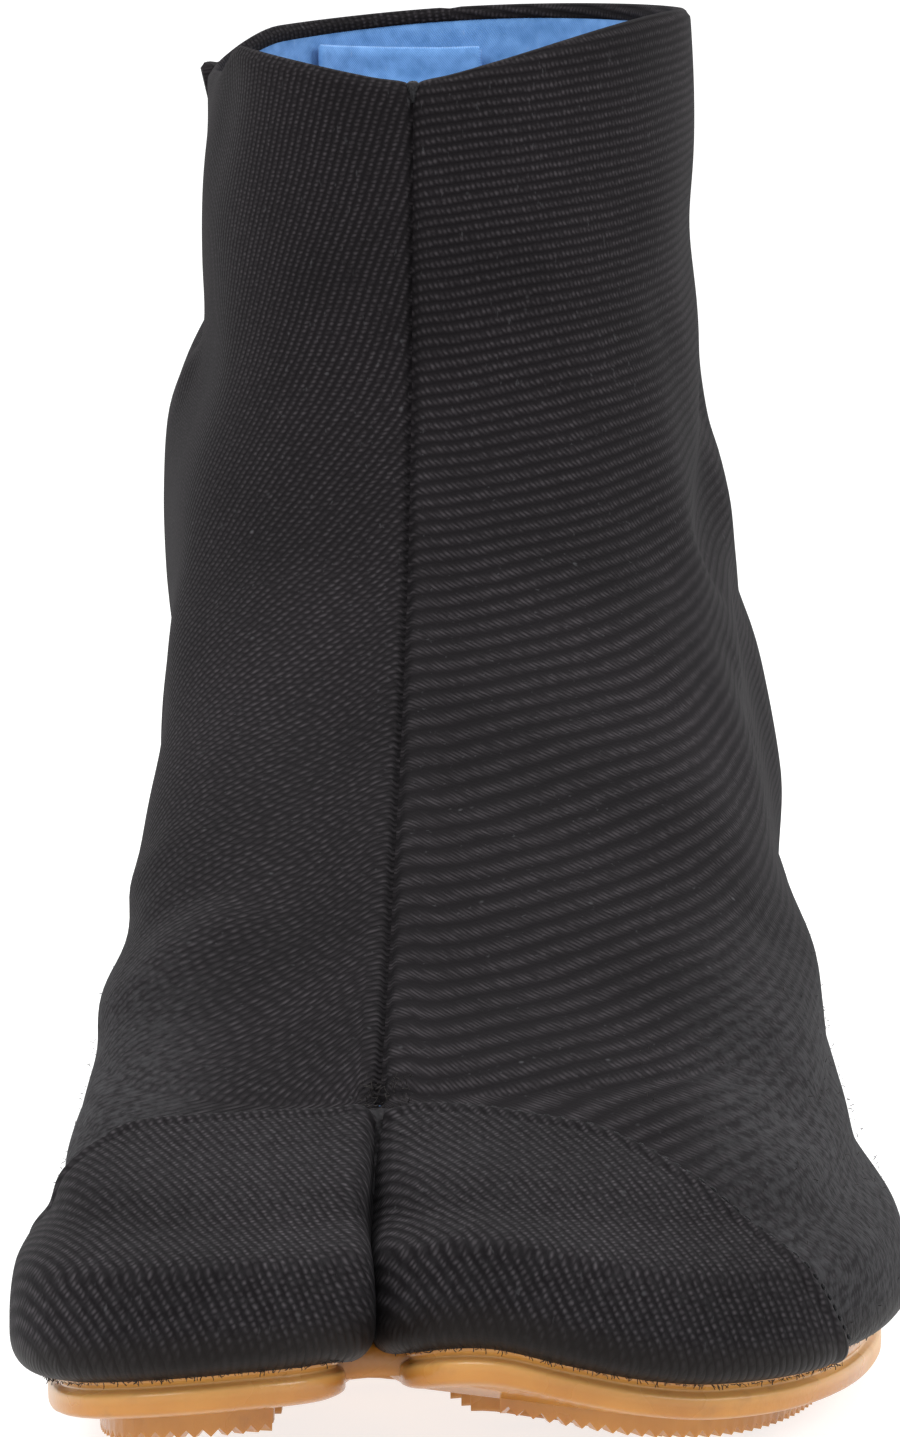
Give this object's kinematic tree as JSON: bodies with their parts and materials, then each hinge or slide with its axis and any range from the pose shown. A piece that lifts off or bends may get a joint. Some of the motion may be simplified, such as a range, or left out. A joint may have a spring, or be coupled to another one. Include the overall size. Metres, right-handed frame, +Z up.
{
  "type": "jika tabi",
  "caption": "Left split-toe cloth ankle boot with hooked side flap, blue lining and gum rubber sole.",
  "frame": {"origin": "on the floor under the middle of the heel's flat tread", "axes": "+Z up, -Y towards the toes, -X towards the big toe side"},
  "size_m": [0.1005, 0.2738, 0.1687],
  "materials": {
    "black_twill": "coarse cotton twill",
    "gum_rubber": "satin, slightly translucent gum",
    "blue_lining": "plain cotton lining",
    "clasp_metal": "polished",
    "black_thread": "waxed thread"
  },
  "bodies": {
    "root": {"upper": "black_twill", "toe_cap_big_toe": "black_twill", "toe_cap_toes": "black_twill", "closing_flap": "black_twill", "outsole": "gum_rubber", "insole": "blue_lining", "kohaze_1": "clasp_metal", "kohaze_2": "clasp_metal", "kohaze_3": "clasp_metal", "kohaze_4": "clasp_metal", "kohaze_5": "clasp_metal", "thread_loop_1": "black_thread", "thread_loop_2": "black_thread", "thread_loop_3": "black_thread", "thread_loop_4": "black_thread", "thread_loop_5": "black_thread"}
  },
  "joints": []
}
